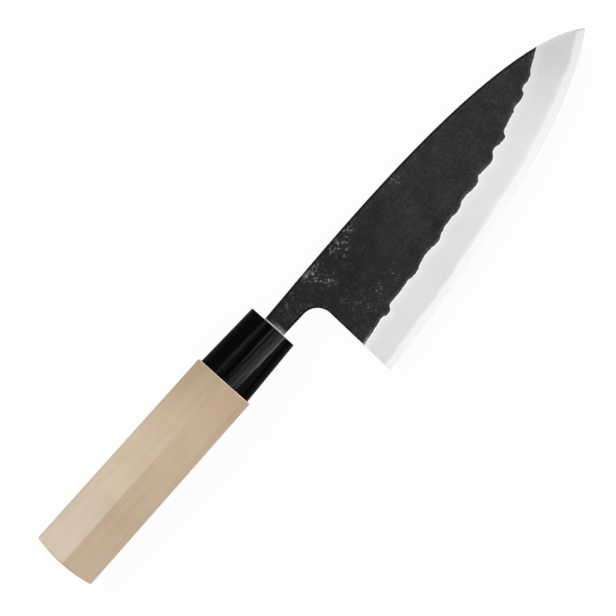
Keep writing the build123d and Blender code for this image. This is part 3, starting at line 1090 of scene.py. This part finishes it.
def paint_ferrule(place):
    """Black ferrule, polished lengthways: lanes and streaks of more and less gloss run along it, and a
    painted highlight runs in its colour along the border of the facet on the edge's side.
    """
    front = along_x(place)
    across = place.mark("across") + front / ferrule_length * 0.09 + 0.05
    across = across + (place.stretched(1.0, 0.0, 0.0).noise(0.12) - 0.5) * 0.06
    lanes = 0.02
    for *edges, share in gloss_lanes:
        lanes = lanes + across.band(*edges) * share
    lane = place.make("CombineXYZ", {0: across * 16.0, 1: front * 0.04})
    streaks = lane.noise(1.1, 4.0, 0.7)
    hairs = place.stretched(0.03, 1.0, 1.0).noise(5.0, 3.0, 0.7)
    gloss = lanes * (streaks.step(0.25, 0.7) * 0.7 + hairs.step(0.4, 0.75) * 0.5 + 0.2)
    narrowed = (1 - front.step(-33.0, -20.0)) * (1 - across.step(-0.52, -0.3))
    gloss = gloss * (0.78 + front.step(-32.0, -14.0) * 0.22) * (1 - narrowed * 0.8)
    # Painted highlight: a thin bright line is painted into the colour along the border of the facet on
    # the edge's side, strongest a little behind the front.
    painted_glint = front.step(-34.0, -6.0) * 0.6 + front.band(-14.0, -8.0, 5.0) * 0.4
    painted_glint = across.band(-0.475, -0.445, 0.02) * painted_glint
    return {
        "Base Color": (place.noise(0.4, 3.0) * 0.006 + painted_glint * streaks).mix(3, 126),
        "Roughness": 0.11 + streaks * 0.08,
        "Normal": place.bump(streaks + hairs * 0.1, 0.00012, 0.4),
        "Coat Weight": gloss,
        "Coat Roughness": 0.1,
        "Specular IOR Level": 0.05,
    }


# Colours of the wood on the sides of the spine and of the edge: at the butt, where it starts to
# darken, and at the ferrule. The side of the spine is paler and cooler by a painted sheen; the
# darkening towards the ferrule is partly the wood's own tone and partly painted shade.
spine_tones_with_sheen = ((0.05, (199, 184, 166)), (0.75, (190, 169, 143)), (1.0, (166, 145, 113)))
edge_tones = ((0.05, (192, 168, 140)), (0.75, (192, 167, 139)), (1.0, (180, 153, 122)))

# The pith of the tree the grip was cut from, from the handle's axis
pith_y, pith_z = -17.0, -26.0


def paint_wood(place):
    """Pale ho wood with fine straight grain along the grip. A painted sheen makes the side of the
    spine paler and cooler. Towards the ferrule the wood is darker and warmer, partly by its own
    tone and partly by painted shade, and more painted shade and painted highlights lie along its
    flanks, rims and chamfer. Rings about a pith below the handle show on the ends."""
    across, part, end = (place.mark(name) for name in grip_marks)
    share = (along_x(place) - butt_x) / (joint_x - butt_x)
    sides = []
    for tones in (edge_tones, spine_tones_with_sheen):
        stops = [(at, linear(tone)) for at, tone in tones]
        sides.append(place.make("ValToRGB", {"Fac": share}, {"stops": stops}))
    pale = (across.step(-0.04, 0.05) * (1 - end)).mix(*sides)
    bands = place.stretched(0.016, 0.5, 0.5).noise(0.5, 3.0, 0.55)
    fibres = place.stretched(0.03, 1.0, 1.0).noise(2.4, 5.0, 0.7)
    pores = place.stretched(0.12, 1.6, 1.6).noise(3.6, 2.0, 0.5).step(0.64, 0.78)
    clouds = place.noise(0.05, 3.0, 0.6)
    away = place.stretched(0.0, 1.0, 1.0).distance((0.0, home[1] + pith_y, home[2] + pith_z))
    rings = (away * 4.6 + bands * 5.0).math("SINE").step(0.1, 1.0)
    tone = bands * 0.3 + fibres * 0.3 + clouds * 0.4
    pale = (tone.step(0.3, 0.7) * 0.22).mix(pale, (226, 210, 188))
    pale = ((1 - tone.step(0.25, 0.55)) * 0.25).mix(pale, (172, 146, 116))
    pale = (pores * 0.22).mix(pale, (160, 132, 104))
    pale = (rings * (end * 0.28 + 0.05)).mix(pale, (158, 130, 100))
    # Painted shade: the flanks are painted darker towards the ferrule, more on the side of the spine.
    painted_flank_shade = across.math("ABSOLUTE").step(0.3, 0.95) * share.step(0.55, 1.0)
    pale = (painted_flank_shade * (0.15 + across.step(-0.1, 0.1) * 0.4)).mix(pale, (156, 134, 104))
    # Painted light: the rim on the side of the edge is painted lighter, against the shade of its rounded
    # corner.
    pale = ((1 - across.step(-0.92, -0.78)) * 0.2).mix(pale, (236, 214, 190))
    # Painted shade: the rim on the side of the spine is painted darker.
    pale = (across.step(0.84, 0.98) * 0.14).mix(pale, (150, 130, 104))
    # Painted highlight: the chamfer at the joint, part 1 of the grip, is painted pale, less so on the
    # side of the spine.
    pale = (part.band(0.9, 1.1, 0.1) * (1 - across.step(-0.3, 0.8) * 0.3)).mix(pale, (242, 230, 212))
    return {
        "Base Color": pale,
        "Roughness": 0.62 - fibres * 0.1,
        "Normal": place.bump(fibres * 0.7 - pores * 0.5 - rings * end * 0.6, 0.00006, 0.5),
    }


def paint_bedding(place):
    """Dark resin in the mouth of the socket, a little grainy."""
    return {
        "Base Color": place.noise(1.5, 4.0).mix((38, 28, 20), (66, 50, 36)),
        "Roughness": 0.7 - place.noise(3.0, 2.0) * 0.15,
        "Normal": place.bump(place.noise(2.5, 4.0), 0.0001, 0.5),
    }


pieces = (
    (blade_iron, paint_iron, "soft_iron_body", "scaled_iron"),
    (blade_steel, paint_steel, "hard_steel_layer", "hard_steel"),
    (ferrule_ring, paint_ferrule, "ferrule", "ferrule"),
    (wooden_grip, paint_wood, "wooden_handle", "handle_wood"),
)
for piece, paint, node, slot in pieces:
    piece.data.materials.append(finish_of(slot, paint))
    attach(piece, "root")
    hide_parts(node)
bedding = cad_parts["tang_bedding"]
for place in bedding.material_slots:
    place.material = finish_of("bedding", paint_bedding)

# Camera: straight above, turned so that the knife points up to the right as in the photograph
view_width = 258.6
view_centre = (15.63, -5.72, 0.0)
view_turn = -48.31
view_depth = 50.0
camera_height = 2100.0
sensor = 36.0
camera = placed("camera", bpy.data.cameras.new("camera"))
target = Vector((np.array(view_centre) + home) * metre)
camera.location = target + Vector((0, 0, camera_height * metre))
camera.rotation_euler = (0, 0, math.radians(view_turn))
camera.data.sensor_width = sensor
camera.data.lens = sensor * camera_height / view_width
camera.data.clip_end = view_depth
bpy.context.scene.camera = camera

# Floor, which looks white and still takes the knife's shadow
floor_size = 4.0
floor_mesh = bpy.data.meshes.new("floor")
corners = [(x * floor_size, y * floor_size, 0.0) for x, y in ((-1, -1), (1, -1), (1, 1), (-1, 1))]
floor_mesh.from_pydata(corners, [], [(0, 1, 2, 3)])
floor = placed("floor", floor_mesh)


def rays_of(start):
    """Whether a ray comes from the camera, and whether it comes from a reflection."""
    names = ("Is Camera Ray", "Is Glossy Ray")
    return (start.make("LightPath", output=name) for name in names)


white = (1.0, 1.0, 1.0, 1.0)
paper = bpy.data.materials.new("white_floor")
start = cleared(paper)
camera_ray, glossy_ray = rays_of(start)
matte = start.make("BsdfDiffuse", {"Color": (0.9, 0.9, 0.9, 1.0)})
glow = start.make("Emission", {"Color": white, "Strength": camera_ray + glossy_ray * 0.3})
lit = camera_ray * 0.94 + glossy_ray * 0.9
mixed = start.make("MixShader", {0: lit, 1: matte, 2: glow})
start.make("OutputMaterial", {"Surface": mixed})
floor_mesh.materials.append(paper)

# Room: a white sweep near the horizon, dark overhead, and an even fill for matte surfaces
world = bpy.data.worlds.new("room")
bpy.context.scene.world = world
start = cleared(world)
camera_ray, glossy_ray = rays_of(start)
way = start.make("TexCoord", output="Generated")
rise = way.axis("Z")
ends = way.axis("X").math("ABSOLUTE").step(0.12, 0.40) * (1 - rise.step(0.45, 0.85))
horizon = (1 - rise.step(0.02, 0.2)) * 0.4
beyond = way.axis("Y").step(0.2, 0.6) * 0.25
sweep = ends.math("MAXIMUM", horizon).math("MAXIMUM", beyond)
overhead = 0.02
fill = 0.85 - rise.step(0.0, 1.0) * 0.55
seen = glossy_ray * (sweep * 0.9 + overhead) + (1 - glossy_ray) * fill
strength = camera_ray + (1 - camera_ray) * seen
light = start.make("Background", {"Color": white, "Strength": strength})
start.make("OutputWorld", {"Surface": light})


def lamp(name, tilt, turn, size, radiance, glossy=True):
    """A soft lamp of even radiance, aimed at the knife: tilt from straight up, turned about z from
    the spine's side."""
    data = bpy.data.lights.new(name, "AREA")
    data.shape = "RECTANGLE"
    data.size, data.size_y = size
    data.energy = radiance * math.pi * size[0] * size[1]
    tilt, turn = math.radians(tilt), math.radians(turn)
    aim = Vector((math.sin(tilt) * math.sin(turn), math.sin(tilt) * math.cos(turn), math.cos(tilt)))
    piece = placed(name, data)
    piece.location = aim * lamp_distance
    piece.rotation_mode = "QUATERNION"
    piece.rotation_quaternion = aim.to_track_quat("Z", "Y")
    piece.visible_glossy = glossy


lamp_distance = 1.4
lamp("softbox", 22, 180, (1.5, 1.2), 1.07)
lamp("low strip", 56, 180, (1.5, 0.36), 1.08)
lamp("spine strip", 22, 0, (1.5, 0.25), 0.3)
lamp("key", 48, -8, (0.9, 0.9), 4.0, glossy=False)

bpy.context.scene.view_settings.view_transform = "Standard"
